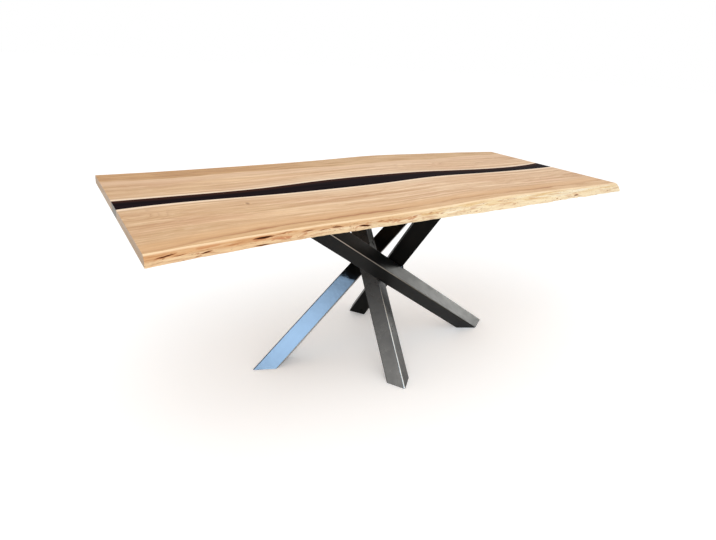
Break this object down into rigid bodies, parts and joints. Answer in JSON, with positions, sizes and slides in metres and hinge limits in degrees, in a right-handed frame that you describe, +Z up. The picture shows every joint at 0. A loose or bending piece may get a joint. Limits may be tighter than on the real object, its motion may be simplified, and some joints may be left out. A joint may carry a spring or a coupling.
{
  "type": "live edge dining table",
  "caption": "Long dining table: live edge boards with a dark cast resin river between them, on a starburst base of crossing square steel tubes with levelling glides.",
  "frame": {"origin": "on the floor under the middle of the top's outline", "axes": "+X along the top's length to the right, +Y across it to the rear, +Z up"},
  "size_m": [2, 0.988, 0.76],
  "materials": {
    "live_edge_wood": "clear satin oil",
    "cast_resin": "polished, near black",
    "leg_coating": "fine textured satin powder coat",
    "zinc_steel": "bright zinc plate",
    "insert_brass": "turned",
    "glide_nylon": "moulded, matt"
  },
  "bodies": {
    "table": {"slab_front": "live_edge_wood", "slab_rear": "live_edge_wood", "resin_river": "cast_resin", "leg_right": "leg_coating", "head_plate_right": "leg_coating", "foot_plate_right": "leg_coating", "leg_left": "leg_coating", "head_plate_left": "leg_coating", "foot_plate_left": "leg_coating", "leg_front": "leg_coating", "head_plate_front": "leg_coating", "foot_plate_front": "leg_coating", "leg_rear": "leg_coating", "head_plate_rear": "leg_coating", "foot_plate_rear": "leg_coating", "crossing_welds": "leg_coating", "head_welds": "leg_coating", "foot_nuts": "zinc_steel", "head_washers": "zinc_steel", "head_screws": "zinc_steel", "head_inserts": "insert_brass", "stiffener_left": "leg_coating", "stiffener_right": "leg_coating", "stiffener_screws": "zinc_steel", "stiffener_inserts": "insert_brass"},
    "glide_right": {"glide_pad_right": "glide_nylon", "glide_stud_right": "zinc_steel"},
    "glide_left": {"glide_pad_left": "glide_nylon", "glide_stud_left": "zinc_steel"},
    "glide_front": {"glide_pad_front": "glide_nylon", "glide_stud_front": "zinc_steel"},
    "glide_rear": {"glide_pad_rear": "glide_nylon", "glide_stud_rear": "zinc_steel"}
  },
  "joints": [
    {"name": "glide_right_slide", "type": "slide", "parent": "table", "child": "glide_right", "axis": [0, 0, -1], "range_m": [0, 0.01]},
    {"name": "glide_left_slide", "type": "slide", "parent": "table", "child": "glide_left", "axis": [0, 0, -1], "range_m": [0, 0.01]},
    {"name": "glide_front_slide", "type": "slide", "parent": "table", "child": "glide_front", "axis": [0, 0, -1], "range_m": [0, 0.01]},
    {"name": "glide_rear_slide", "type": "slide", "parent": "table", "child": "glide_rear", "axis": [0, 0, -1], "range_m": [0, 0.01]}
  ]
}
